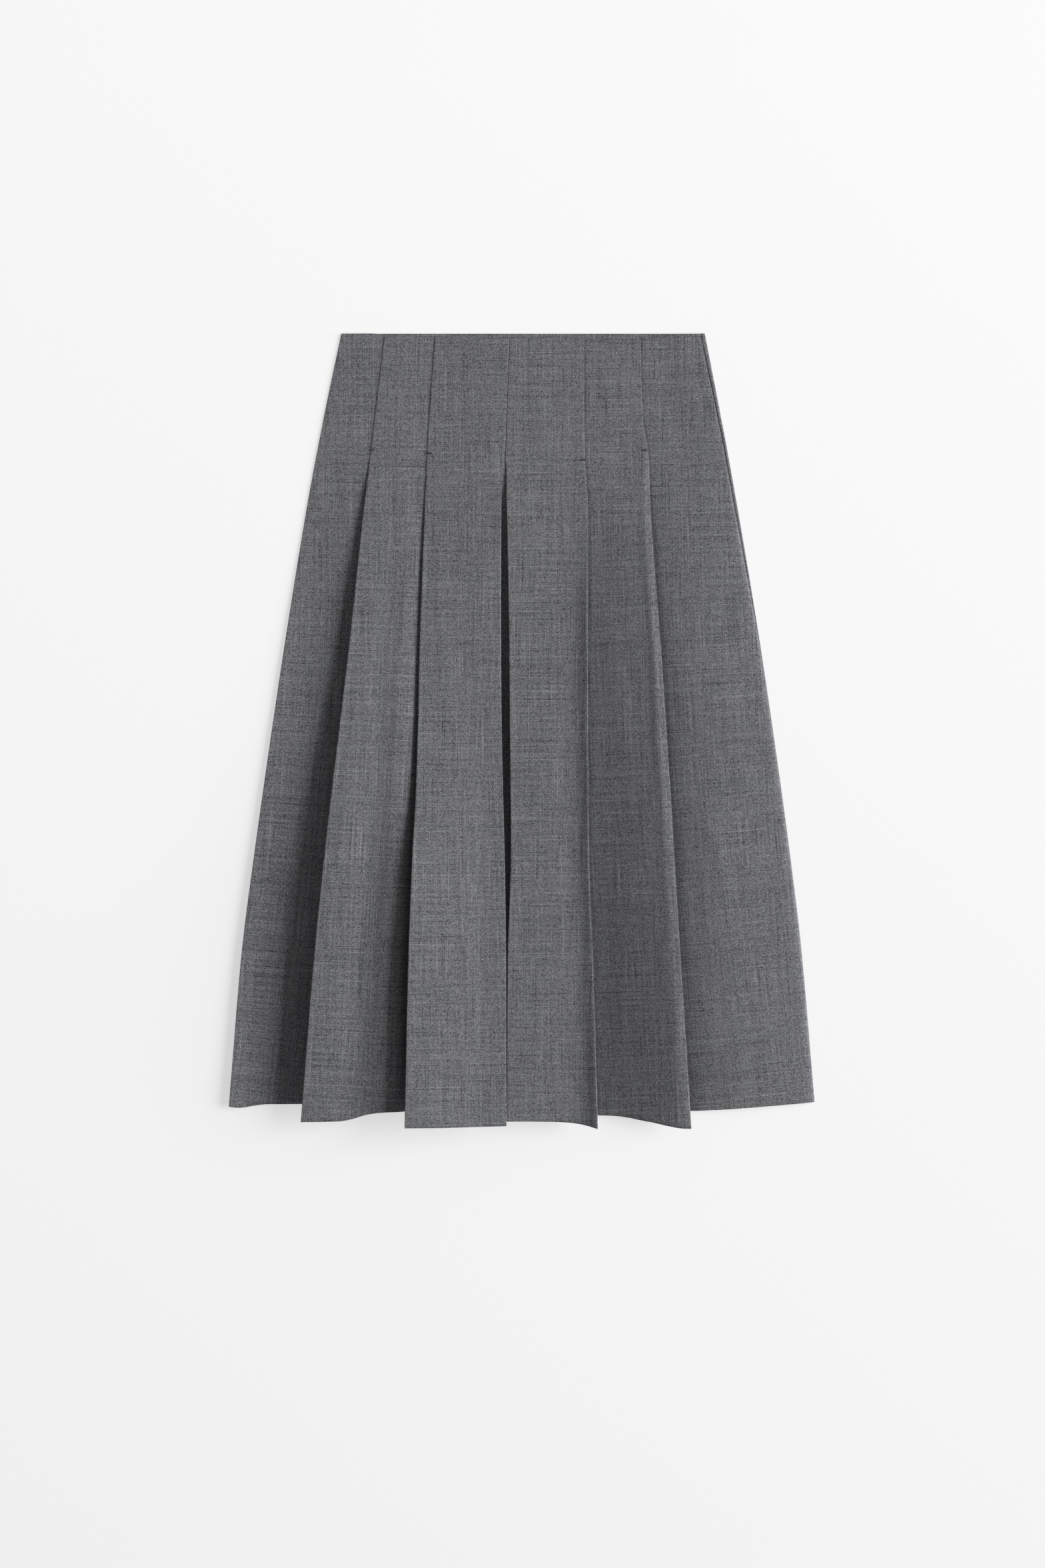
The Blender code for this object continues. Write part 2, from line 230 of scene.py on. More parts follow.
def weave_group():
    """Plain suiting weave: yarns of uneven tone, long slubs both ways, and fine flecks."""
    tree = bpy.data.node_groups.new("suiting_weave", "ShaderNodeTree")
    sockets = {
        "Grain": "NodeSocketVector",
        "Yarn Width": "NodeSocketFloat",
        "Slub Width": "NodeSocketFloat",
        "Slub Length": "NodeSocketFloat",
        "Yarn Contrast": "NodeSocketFloat",
        "Slub Contrast": "NodeSocketFloat",
        "Fleck Contrast": "NodeSocketFloat",
        "Dark Yarn": "NodeSocketColor",
        "Light Yarn": "NodeSocketColor",
        "Cool Yarn": "NodeSocketColor",
        "Warm Yarn": "NodeSocketColor",
    }
    for socket, kind in sockets.items():
        tree.interface.new_socket(name=socket, in_out="INPUT", socket_type=kind)
    tree.interface.new_socket(name="Colour", in_out="OUTPUT", socket_type="NodeSocketColor")
    tree.interface.new_socket(name="Height", in_out="OUTPUT", socket_type="NodeSocketFloat")
    given = tree.nodes.new("NodeGroupInput").outputs
    result = tree.nodes.new("NodeGroupOutput").inputs

    def feed(socket, value):
        if isinstance(value, bpy.types.NodeSocket):
            tree.links.new(value, socket)
        else:
            socket.default_value = value

    def math_node(operation, *values):
        node = tree.nodes.new("ShaderNodeMath")
        node.operation = operation
        for socket, value in zip(node.inputs, values):
            feed(socket, value)
        return node.outputs[0]

    def place(across, along):
        node = tree.nodes.new("ShaderNodeCombineXYZ")
        feed(node.inputs["X"], across)
        feed(node.inputs["Y"], along)
        return node.outputs[0]

    def noise_tone(across, along, detail):
        node = tree.nodes.new("ShaderNodeTexNoise")
        node.noise_dimensions = "2D"
        feed(node.inputs["Vector"], place(across, along))
        node.inputs["Scale"].default_value = 1.0
        node.inputs["Detail"].default_value = detail
        return math_node("SUBTRACT", node.outputs["Fac"], 0.5)

    def mostly_even(tone):
        return math_node("MULTIPLY", tone, math_node("ABSOLUTE", tone))

    def random_tone(across, along):
        node = tree.nodes.new("ShaderNodeTexWhiteNoise")
        node.noise_dimensions = "2D"
        feed(node.inputs["Vector"], place(across, along))
        return math_node("SUBTRACT", node.outputs["Value"], 0.5)

    def mixed(share, first, second, blend_type="MIX"):
        node = tree.nodes.new("ShaderNodeMix")
        node.data_type = "RGBA"
        node.blend_type = blend_type
        feed(node.inputs["Factor"], share)
        colours = [socket for socket in node.inputs if socket.type == "RGBA"]
        feed(colours[0], first)
        feed(colours[1], second)
        return next(socket for socket in node.outputs if socket.type == "RGBA")

    grain = tree.nodes.new("ShaderNodeSeparateXYZ")
    feed(grain.inputs[0], given["Grain"])
    across, along = grain.outputs["X"], grain.outputs["Y"]
    yarns_across = math_node("DIVIDE", across, given["Yarn Width"])
    yarns_along = math_node("DIVIDE", along, given["Yarn Width"])
    warp = math_node("FLOOR", yarns_across)
    weft = math_node("FLOOR", yarns_along)

    # Which yarn lies on top at each crossing: the warp (1) or the weft (0)
    crossing = math_node("FLOORED_MODULO", math_node("ADD", warp, weft), 2.0)
    warp_on_top = math_node("LESS_THAN", crossing, 0.5)
    weft_on_top = math_node("SUBTRACT", 1.0, warp_on_top)

    # Each yarn has a tone of its own, which changes slowly along it
    apart = 7.31
    yarn_detail, slub_detail = 1.0, 2.0
    along_in_slubs = math_node("DIVIDE", along, given["Slub Length"])
    across_in_slubs = math_node("DIVIDE", across, given["Slub Length"])
    warp_tone = noise_tone(math_node("MULTIPLY", warp, apart), along_in_slubs, yarn_detail)
    weft_tone = noise_tone(across_in_slubs, math_node("MULTIPLY", weft, apart), yarn_detail)
    yarn_tone = math_node("ADD", mostly_even(warp_tone), mostly_even(weft_tone))

    # Slubs: thicker stretches of yarn, which read as streaks both ways
    warp_slub = noise_tone(math_node("DIVIDE", across, given["Slub Width"]), along_in_slubs, slub_detail)
    weft_slub = noise_tone(across_in_slubs, math_node("DIVIDE", along, given["Slub Width"]), slub_detail)
    slub_tone = math_node("ADD", warp_slub, weft_slub)

    fleck_tone = random_tone(warp, weft)
    middle_tone = 0.4
    tone = math_node(
        "ADD",
        math_node("MULTIPLY_ADD", yarn_tone, given["Yarn Contrast"], middle_tone),
        math_node(
            "ADD",
            math_node("MULTIPLY", slub_tone, given["Slub Contrast"]),
            math_node("MULTIPLY", fleck_tone, given["Fleck Contrast"]),
        ),
    )
    grey = mixed(tone, given["Dark Yarn"], given["Light Yarn"])

    # A faint tint that goes with the yarn on top
    warp_draw, weft_draw = 3.0, 7.0
    warp_tint = math_node("MULTIPLY", random_tone(warp, warp_draw), warp_on_top)
    weft_tint = math_node("MULTIPLY", random_tone(weft_draw, weft), weft_on_top)
    tint_share = math_node("ADD", math_node("ADD", warp_tint, weft_tint), 0.5)
    tint = mixed(tint_share, given["Cool Yarn"], given["Warm Yarn"])
    feed(result["Colour"], mixed(1.0, grey, tint, "MULTIPLY"))

    # The yarn on top is a low round ridge
    def ridge(place_on_yarn):
        middle = math_node("SUBTRACT", math_node("FRACT", place_on_yarn), 0.5)
        return math_node("MULTIPLY_ADD", math_node("MULTIPLY", middle, middle), -4.0, 1.0)

    warp_ridge = math_node("MULTIPLY", ridge(yarns_across), warp_on_top)
    weft_ridge = math_node("MULTIPLY", ridge(yarns_along), weft_on_top)
    height = math_node("ADD", warp_ridge, weft_ridge)
    feed(result["Height"], math_node("ADD", height, slub_tone))
    return tree


WOOL_GREY = (0.14, 0.143, 0.153, 1.0)
wool_cloth, wool_shader = new_material("wool_suiting", WOOL_GREY, roughness=0.92)
wool_shader.inputs["Specular IOR Level"].default_value = 0.25
wool_shader.inputs["Sheen Weight"].default_value = 0.12
wool_shader.inputs["Sheen Roughness"].default_value = 0.5
wool_nodes = wool_cloth.node_tree
wool_grain = wool_nodes.nodes.new("ShaderNodeUVMap")
wool_grain.uv_map = "grain"
wool_weave = wool_nodes.nodes.new("ShaderNodeGroup")
wool_weave.node_tree = weave_group()
WOOL_WEAVE = {
    "Yarn Width": 0.45 * MM,
    "Slub Width": 1.5 * MM,
    "Slub Length": 70 * MM,
    "Yarn Contrast": 3.0,
    "Slub Contrast": 0.065,
    "Fleck Contrast": 0.85,
    "Dark Yarn": (0.022, 0.023, 0.026, 1.0),
    "Light Yarn": (0.338, 0.344, 0.366, 1.0),
    "Cool Yarn": (0.95, 1.0, 1.06, 1.0),
    "Warm Yarn": (1.06, 1.0, 0.93, 1.0),
}
for socket, value in WOOL_WEAVE.items():
    wool_weave.inputs[socket].default_value = value
wool_bump = wool_nodes.nodes.new("ShaderNodeBump")
wool_bump.inputs["Strength"].default_value = 0.35
wool_bump.inputs["Distance"].default_value = 0.12 * MM
wool_nodes.links.new(wool_grain.outputs["UV"], wool_weave.inputs["Grain"])
wool_nodes.links.new(wool_weave.outputs["Colour"], wool_shader.inputs["Base Color"])
wool_nodes.links.new(wool_weave.outputs["Height"], wool_bump.inputs["Height"])
wool_nodes.links.new(wool_bump.outputs["Normal"], wool_shader.inputs["Normal"])


def back_grid():
    """The back, from its left edge to the outline, and on over the roll at the right side seam."""
    levels = np.arange(0, LENGTH + ROW_STEP / 2, ROW_STEP)[:, None]
    left, right, seam = line_at("side_left", levels), line_at("side_right", levels), seam_at(levels)
    hem_share = soft_step((levels - (LENGTH - HEM_DEPTH)) / HEM_FADE)
    under = (CLOTH + (HEM_CLOTH - CLOTH) * hem_share) / 2

    # Flat columns, with a soft upturn towards the left edge
    edge = np.array(EDGE_SHARES) * EDGE_WIDTH
    flat = np.concatenate((edge, np.arange(EDGE_WIDTH + BACK_STEP, BACK_REACH, BACK_STEP)))
    flat_shares = (flat / flat[-1])[None, :]
    roll_half = np.minimum((right - seam) / 2, ROLL_HALF) + ROLL_ROOM
    flat_end = right - roll_half
    x_flat = left + (flat_end - left) * flat_shares
    z_flat = under + EDGE_UPTURN * fade_out(x_flat - left, 0, UPTURN_WIDTH)

    # The roll: half round the outline, then along the top to the seam, where it dips
    rolled = soft_step((right - seam) / ROLL_FADE)
    top = under + ROLL_LIFT + rolled * (rest_height(seam, levels) - under - ROLL_LIFT)
    turns = np.radians(ROLL_TURNS)[None, :]
    x_turn = flat_end + roll_half * np.cos(turns)
    z_turn = (under + top) / 2 + (top - under) / 2 * np.sin(turns)
    x_run = flat_end + (np.minimum(seam + ROLL_OVERLAP, flat_end) - flat_end) * np.array(ROLL_RUN)[None, :]
    z_run = top - rolled * np.array(ROLL_DIPS)[None, :] * MM
    x = np.hstack((x_flat, x_turn, x_run))
    z = np.hstack((z_flat, z_turn, z_run))

    side = 2 * (np.clip(x, left, right) - left) / (right - left) - 1
    down = (BACK_LENGTH - BACK_RISE * side * side) * levels / LENGTH
    points = np.stack((x, WAIST_Y - down, z), axis=2)
    across = np.hstack((x[:, :1], x[:, :1] + np.cumsum(np.hypot(np.diff(x), np.diff(z)), axis=1)))
    return points, np.stack((across, down), axis=2)


def rest_height(x, level):
    """Height of the front's lowest layer, which lies on the back, the facing or the zip."""
    facing_start = line_at("side_left", level) + FACING_INSET
    facing_end = line_at("side_right", level) - FACING_INSET
    past_facing = np.maximum(np.maximum(facing_start - x, x - facing_end), 0)
    on_facing = fade_out(level, *FACING_FADE_DOWN) * fade_out(past_facing, *FACING_FADE_ACROSS)
    past_zip = np.maximum(seam_at(level) - ZIP_REACH - x, 0)
    on_zip = fade_out(level, *ZIP_FADE_DOWN) * fade_out(past_zip, *ZIP_FADE_ACROSS)
    return ON_BACK + np.maximum(OVER_FACING * on_facing, OVER_ZIP * on_zip)


back_points, back_grain = back_grid()
back_cloth = make_cloth("back_cloth", back_points, back_grain, "back")

# The back's waist facing.
# A strip of the same cloth, sewn along the back's waist edge and turned inside. The front's edge
# dips below it in the middle, so that the facing shows there as a narrow strip.

FACING_DEPTH = 35 * MM
FACING_ROWS = 13
FACING_COLUMNS = 81
FACING_CLOTH = 0.45 * MM
FACING_ROLL = 0.2 * MM
ROLL_WIDTH = 2 * MM
FACING_CUT_FROM = (0.11, 1.3)
# How high the pieces between the back and the front lie
INSIDE_HEIGHT = 0.95 * MM

facing_depths = np.linspace(0, FACING_DEPTH, FACING_ROWS)[:, None]
facing_left = line_at("side_left", facing_depths) + FACING_INSET
facing_right = line_at("side_right", facing_depths) - FACING_INSET
facing_x = facing_left + (facing_right - facing_left) * np.linspace(0, 1, FACING_COLUMNS)[None, :]
facing_down = np.broadcast_to(facing_depths, facing_x.shape)
facing_z = INSIDE_HEIGHT - FACING_ROLL * fade_out(facing_down, 0, ROLL_WIDTH)
waist_facing_cloth = make_cloth(
    "waist_facing_cloth",
    np.stack((facing_x, WAIST_Y - facing_down, facing_z), axis=2),
    np.stack((facing_x + FACING_CUT_FROM[0], facing_down + FACING_CUT_FROM[1]), axis=2),
    "back_waist_facing",
    FACING_CLOTH,
    FACING_CLOTH,
)

# The side zip.
# A concealed zip sewn into the right side seam: a woven tape with a nylon coil along it.
# It lies between the front and the back, where none of it shows.

ZIP_TOP = 3 * MM
ZIP_LENGTH = 190 * MM
ZIP_WIDTH = 14 * MM
ZIP_ROWS = 48
ZIP_FROM_SEAM = 1.5 * MM
TAPE_THICKNESS = 0.4 * MM
TAPE_GREY = (0.08, 0.08, 0.09, 1.0)
TAPE_WEAVE = {
    **WOOL_WEAVE,
    "Yarn Contrast": 0.5,
    "Slub Contrast": 0.1,
    "Fleck Contrast": 0.2,
    "Light Yarn": (0.12, 0.12, 0.13, 1.0),
}
# The coil: half its height, half its width, and how high its middle lies over the tape
COIL_RISE = 0.72 * MM
COIL_REACH = 0.45 * MM
COIL_LIFT = 0.45 * MM
COIL_PITCH = 1.3 * MM
COIL_THREAD = 0.14 * MM
COIL_FROM_SEAM = 4 * MM

zip_tape_finish, zip_shader = new_material("zip_tape_weave", TAPE_GREY, roughness=0.8)
zip_nodes = zip_tape_finish.node_tree
zip_weave = zip_nodes.nodes.new("ShaderNodeGroup")
zip_weave.node_tree = wool_weave.node_tree
for socket, value in TAPE_WEAVE.items():
    zip_weave.inputs[socket].default_value = value
zip_grain = zip_nodes.nodes.new("ShaderNodeTexCoord")
zip_nodes.links.new(zip_grain.outputs["Object"], zip_weave.inputs["Grain"])
zip_nodes.links.new(zip_weave.outputs["Colour"], zip_shader.inputs["Base Color"])

zip_depths = np.linspace(ZIP_TOP, ZIP_LENGTH, ZIP_ROWS)
zip_points = []
for depth in zip_depths:
    edge = float(seam_at(depth)) - ZIP_FROM_SEAM
    zip_points += [(x, WAIST_Y - depth, INSIDE_HEIGHT) for x in (edge - ZIP_WIDTH, edge)]
zip_faces = [(2 * i, 2 * i + 2, 2 * i + 3, 2 * i + 1) for i in range(ZIP_ROWS - 1)]
zip_mesh = bpy.data.meshes.new("zip_tape")
zip_mesh.from_pydata(zip_points, [], zip_faces)
zip_tape = new_piece("zip_tape", zip_mesh, zip_tape_finish)
zip_wall = zip_tape.modifiers.new("wall", "SOLIDIFY")
zip_wall.thickness = TAPE_THICKNESS
zip_wall.offset = 0.0
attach(zip_tape, "root")
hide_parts("side_zip")

LOOP_SIDES = 10
THREAD_SIDES = 5


def path_curve(name, paths):
    """Poly curves along paths of points, for a node tree to follow."""
    curve = bpy.data.curves.new(name, "CURVE")
    curve.dimensions = "3D"
    for path in paths:
        spline = curve.splines.new("POLY")
        spline.points.add(len(path) - 1)
        for point, place in zip(spline.points, path):
            point.co = (*place, 1.0)
    piece = bpy.data.objects.new(name, curve)
    bpy.context.scene.collection.objects.link(piece)
    return piece


def loops_along_path():
    """A tree that sets small thread loops across a path: half a loop's height is its rise, and half
    its width across the path is its reach."""
    tree = bpy.data.node_groups.new("thread_loops", "GeometryNodeTree")
    tree.interface.new_socket(name="Geometry", in_out="INPUT", socket_type="NodeSocketGeometry")
    for socket in ("Pitch", "Loop Rise", "Loop Reach", "Thread Radius"):
        tree.interface.new_socket(name=socket, in_out="INPUT", socket_type="NodeSocketFloat")
    tree.interface.new_socket(name="Finish", in_out="INPUT", socket_type="NodeSocketMaterial")
    tree.interface.new_socket(name="Geometry", in_out="OUTPUT", socket_type="NodeSocketGeometry")
    given = tree.nodes.new("NodeGroupInput").outputs
    result = tree.nodes.new("NodeGroupOutput").inputs
    link = tree.links.new

    points = tree.nodes.new("GeometryNodeCurveToPoints")
    points.mode = "LENGTH"
    link(given["Geometry"], points.inputs["Curve"])
    link(given["Pitch"], points.inputs["Length"])

    loop = tree.nodes.new("GeometryNodeCurvePrimitiveCircle")
    loop.mode = "RADIUS"
    loop.inputs["Resolution"].default_value = LOOP_SIDES
    link(given["Loop Rise"], loop.inputs["Radius"])
    thread = tree.nodes.new("GeometryNodeCurvePrimitiveCircle")
    thread.mode = "RADIUS"
    thread.inputs["Resolution"].default_value = THREAD_SIDES
    link(given["Thread Radius"], thread.inputs["Radius"])
    loop_mesh = tree.nodes.new("GeometryNodeCurveToMesh")
    link(loop.outputs["Curve"], loop_mesh.inputs["Curve"])
    link(thread.outputs["Curve"], loop_mesh.inputs["Profile Curve"])

    flatness = tree.nodes.new("ShaderNodeMath")
    flatness.operation = "DIVIDE"
    link(given["Loop Reach"], flatness.inputs[0])
    link(given["Loop Rise"], flatness.inputs[1])
    size = tree.nodes.new("ShaderNodeCombineXYZ")
    link(flatness.outputs[0], size.inputs["X"])
    size.inputs["Y"].default_value = 1.0
    size.inputs["Z"].default_value = 1.0

    set_on = tree.nodes.new("GeometryNodeInstanceOnPoints")
    link(points.outputs["Points"], set_on.inputs["Points"])
    link(loop_mesh.outputs["Mesh"], set_on.inputs["Instance"])
    link(points.outputs["Rotation"], set_on.inputs["Rotation"])
    link(size.outputs[0], set_on.inputs["Scale"])
    real = tree.nodes.new("GeometryNodeRealizeInstances")
    link(set_on.outputs["Instances"], real.inputs["Geometry"])
    finish = tree.nodes.new("GeometryNodeSetMaterial")
    link(real.outputs["Geometry"], finish.inputs["Geometry"])
    link(given["Finish"], finish.inputs["Material"])
    link(finish.outputs["Geometry"], result["Geometry"])
    return tree


def set_loops(name, paths, sizes, material):
    """Lay thread loops along the paths, as one plain mesh."""
    guide = path_curve(name + "_path", paths)
    loops = guide.modifiers.new("loops", "NODES")
    loops.node_group = thread_loops
    for socket in thread_loops.interface.items_tree:
        if socket.in_out == "INPUT" and socket.name in sizes:
            loops[socket.identifier] = sizes[socket.name]
        if socket.in_out == "INPUT" and socket.name == "Finish":
            loops[socket.identifier] = material
    bpy.context.view_layer.update()
    made = guide.evaluated_get(bpy.context.evaluated_depsgraph_get())
    mesh = bpy.data.meshes.new_from_object(made)
    mesh.name = name
    guide.modifiers.remove(loops)
    bpy.data.objects.remove(guide)
    mesh.shade_smooth()
    piece = bpy.data.objects.new(name, mesh)
    bpy.context.scene.collection.objects.link(piece)
    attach(piece, "root")
    return piece


thread_loops = loops_along_path()
coil_height = INSIDE_HEIGHT + TAPE_THICKNESS / 2 + COIL_LIFT
coil_path = [
    (float(seam_at(depth)) - COIL_FROM_SEAM, WAIST_Y - depth, coil_height) for depth in zip_depths[2:]
]
coil_sizes = {
    "Pitch": COIL_PITCH,
    "Loop Rise": COIL_RISE,
    "Loop Reach": COIL_REACH,
    "Thread Radius": COIL_THREAD,
}
zip_coil = set_loops("zip_coil", [coil_path], coil_sizes, zip_tape_finish)

# The pleat underlay.
# A panel behind the inverted pleat in the middle of the front, sewn along the pleat's two inner
# folds. It shows only as a dark strip where the pleat stands open.

# The front's waist edge rolls down to the facing: distances down from the edge, and heights
WAIST_ROLL = ((0, -0.3), (0.35, 0.12), (0.9, 0.25), (12, 0))
waist_rows = [distance * MM for distance, _ in WAIST_ROLL[:-1]]
front_levels = np.concatenate((waist_rows, np.arange(ROW_STEP, LENGTH + ROW_STEP / 2, ROW_STEP)))[:, None]
# How high each fold stands above its lying layers, in mm, at these distances down from the waist
LIFT_LEVELS = (0, 120, 170, 250, 320, 385, 455, 520, 600, 680, 785)
LIFTS = {
    "side_left": (0, 0, 0, 0.8, 1.8, 2.4, 3.1, 4, 5, 6, 7),
    "pleat_1": (0, 0, 2.4, 7.4, 11.6, 15.5, 20.5, 24.5, 27.3, 27.5, 25.5),
    "pleat_2": (0, 0, 2.2, 7, 11, 15.5, 22.5, 33, 41, 43.5, 42),
    "centre_left": (0, 0, 4, 8, 10.5, 13.5, 18, 26, 33.5, 37, 36.5),
    "centre_right": (0, 0, 4, 7, 8.6, 10.6, 12.8, 15.8, 19.5, 22, 22),
    "pleat_3": (0, 0, 4.4, 10, 12.6, 14.6, 17.2, 20.2, 23.5, 26.5, 27.5),
    "pleat_4": (0, 0, 2.8, 7.4, 10.6, 13.4, 16.4, 19.2, 22.5, 25, 24),
    "side_right": (0, 0.3, 1.8, 3.4, 4.2, 4.8, 5.2, 5.5, 5.7, 5.7, 5.4),
}
# The outer folds: the way each faces, the panel's two lines, its depth as a share of that panel,
# and where its return ends at the hem
OUTER_FOLDS = {
    "pleat_1": (-1, ("pleat_1", "pleat_2"), 0.36, 763),
    "pleat_2": (-1, ("pleat_2", "centre_left"), 0.36, 769),
    "centre_left": (1, ("pleat_2", "centre_left"), 0.34, 771),
    "centre_right": (-1, ("centre_right", "pleat_3"), 0.34, 771),
    "pleat_3": (1, ("centre_right", "pleat_3"), 0.36, 774),
    "pleat_4": (1, ("pleat_3", "pleat_4"), 0.36, 770),
}
# From one lying layer to the next, in mm: pressed thin where the pleats are sewn shut
LAYER_LEVELS = (0, 120, 210, 785)
LAYERS = (0.3, 0.34, 0.75, 0.75)
WAIST_DIP = ((-146, 0), (-138, 1.8), (-87, 4.3), (-15, 5.0), (80, 5.0), (122, 4.2), (146, 0.4), (181, 0.3))
# How far the grain of a gore leans, as a share of its lean at the hem, from the waist down
GRAIN_LEVELS = (0, 150, 500, 785)
GRAIN_SHARES = (0, 0.15, 0.8, 1)
UNDERLAY_HEM = 771
UNDERLAY_COLUMNS = 13
UNDERLAY_CUT_FROM = (0.37, 2.1)
# How far the underlay bulges up in the middle, as a share of the height of the fold over it
UNDERLAY_RISE = 0.2


def lift_at(name, level):
    """Height of a fold above its lying layers."""
    return through(LIFT_LEVELS, LIFTS[name], level / MM) * MM


def layer_at(level):
    """The height from one lying layer to the next."""
    return through(LAYER_LEVELS, LAYERS, level / MM) * MM


def inner_fold(name, level):
    """Where two gores meet inside a pleat, under the panel that ends on its outer fold."""
    side, (left, right), share, _ = OUTER_FOLDS[name]
    return line_at(name, level) - side * share * (line_at(right, level) - line_at(left, level))


def down_at(x, level, hem):
    """How far down a point of the front is: hem is where its thread ends."""
    places, drops = zip(*WAIST_DIP)
    waist = through(places, drops, (x - MIDDLE_X) / MM) * MM
    return waist + (hem * MM - waist) * level / LENGTH


def grain_of(points, downs, levels, lean, middle, cut_from):
    """Each point's place on the uncut cloth, in metres: across the warp, and along it."""
    x, z = points[..., 0], points[..., 2]
    steps = np.hypot(np.diff(x), np.diff(z))
    run = np.hstack((np.zeros_like(x[:, :1]), np.cumsum(steps, axis=1)))
    run = run - run[:, middle:middle + 1]
    leans = through(GRAIN_LEVELS, [share * lean for share in GRAIN_SHARES], levels / MM)
    slope = np.tan(np.radians(leans))
    drift = np.cumsum(slope, axis=0) * ROW_STEP
    across = x[:, middle:middle + 1] + drift + run
    return np.stack((across + cut_from[0], downs - run * slope + cut_from[1]), axis=2)


underlay_left = inner_fold("centre_left", front_levels)
underlay_right = inner_fold("centre_right", front_levels)
underlay_shares = np.linspace(0, 1, UNDERLAY_COLUMNS)
underlay_x = underlay_left + (underlay_right - underlay_left) * underlay_shares[None, :]
underlay_bulge = UNDERLAY_RISE * lift_at("centre_right", front_levels) * np.sin(math.pi * underlay_shares)
underlay_z = rest_height(underlay_x, front_levels) + underlay_bulge
underlay_down = down_at(underlay_x, front_levels, UNDERLAY_HEM)
underlay_points = np.stack((underlay_x, WAIST_Y - underlay_down, underlay_z), axis=2)
underlay_grain = grain_of(
    underlay_points, underlay_down, front_levels, 0.0, UNDERLAY_COLUMNS // 2, UNDERLAY_CUT_FROM
)
pleat_underlay_cloth = make_cloth(
    "pleat_underlay_cloth", underlay_points, underlay_grain, "front_pleat_underlay"
)

# The six front gores.
# Each is a panel of wool suiting that widens to the hem. It is pressed into knife pleats and the
# middle's inverted pleat, sewn shut near the waist, and below that its folds stand up off the skirt.

# Each gore: its two lines, its solid, the lean of its grain at the hem in degrees, where it is cut
# from, and its face, a row for each place across: share across, layers it lies on, shares of the
# left and right lines' lift, and where that thread ends at the hem in mm
GORES = {
    "side_gore_left": (
        ("side_left", "pleat_1", "front_side_left", 6.0, (1.1, 0.3)),
        (
            (0.00, 0, 1.00, 0, 763.0),
            (0.06, 0, 0.91, 0, 763.7),
            (0.14, 0, 0.71, 0, 764.2),
            (0.22, 0, 0.53, 0, 763.8),
            (0.31, 0, 0.43, 0, 762.6),
            (0.52, 0, 0.33, 0, 761.0),
            (0.76, 0, 0.18, 0, 761.0),
            (1.00, 0, 0.00, 0, 761.0),
        ),
    ),
    "pleat_gore_left": (
        ("pleat_1", "pleat_2", "front_panel_left", 3.3, (2.3, 1.7)),
        (
            (0.00, 2.0, 1.00, 0, 776.0),
            (0.14, 2.0, 1.00, 0, 775.8),
            (0.28, 1.9, 0.98, 0, 775.6),
            (0.40, 1.8, 0.93, 0, 775.0),
            (0.50, 1.6, 0.895, 0, 772.8),
            (0.62, 1.25, 0.91, 0, 769.2),
            (0.74, 0.75, 0.97, 0, 767.2),
            (0.87, 0.3, 0.95, 0, 766.6),
            (0.94, 0.15, 0.84, 0, 766.6),
            (1.00, 0.0, 0.60, 0, 766.6),
        ),
    ),
    "middle_gore_left": (
        ("pleat_2", "centre_left", "front_centre_left", -0.3, (3.9, 0.9)),
        (
            (0.00, 2, 1.00, 0.00, 780.2),
            (0.30, 2, 0.68, 0.32, 780.2),
            (0.58, 2, 0.34, 0.65, 779.6),
            (0.80, 2, 0.09, 0.89, 779.2),
            (1.00, 2, 0.00, 1.00, 778.7),
        ),
    ),
    "middle_gore_right": (
        ("centre_right", "pleat_3", "front_centre_right", 0.3, (5.2, 2.6)),
        (
            (0.00, 2, 1.00, 0.00, 775.8),
            (0.25, 2, 1.00, 0.00, 775.8),
            (0.50, 2, 0.985, 0.015, 776.0),
            (0.70, 2, 0.975, 0.025, 777.0),
            (0.83, 2, 0.90, 0.10, 778.6),
            (0.92, 2, 0.62, 0.39, 780.4),
            (1.00, 2, 0.00, 1.00, 782.4),
        ),
    ),
    "pleat_gore_right": (
        ("pleat_3", "pleat_4", "front_panel_right", -3.3, (6.6, 0.4)),
        (
            (0.00, 0.0, 0, 0.12, 771.9),
            (0.10, 0.2, 0, 0.19, 771.9),
            (0.18, 0.4, 0, 0.26, 772.0),
            (0.34, 0.9, 0, 0.43, 773.4),
            (0.50, 1.4, 0, 0.60, 776.0),
            (0.60, 1.7, 0, 0.70, 777.4),
            (0.76, 1.9, 0, 0.86, 780.4),
            (0.94, 2.0, 0, 1.00, 782.6),
            (1.00, 2.0, 0, 1.00, 782.7),
        ),
    ),
    "side_gore_right": (
        ("pleat_4", "side_right", "front_side_right", -5.6, (7.4, 3.1)),
        (
            (0.00, 0, 0, 0.00, 767.9),
            (0.07, 0, 0, 0.36, 767.5),
            (0.14, 0, 0, 0.60, 767.0),
            (0.25, 0, 0, 0.85, 766.2),
            (0.40, 0, 0, 1.00, 764.9),
            (0.60, 0, 0, 0.98, 763.0),
            (0.80, 0, 0, 0.84, 761.0),
            (0.93, 0, 0, 0.74, 759.6),
            (0.985, 0, 0, 0.50, 759.0),
            (1.00, 0, 0, 0.18, 758.8),
        ),
    ),
}
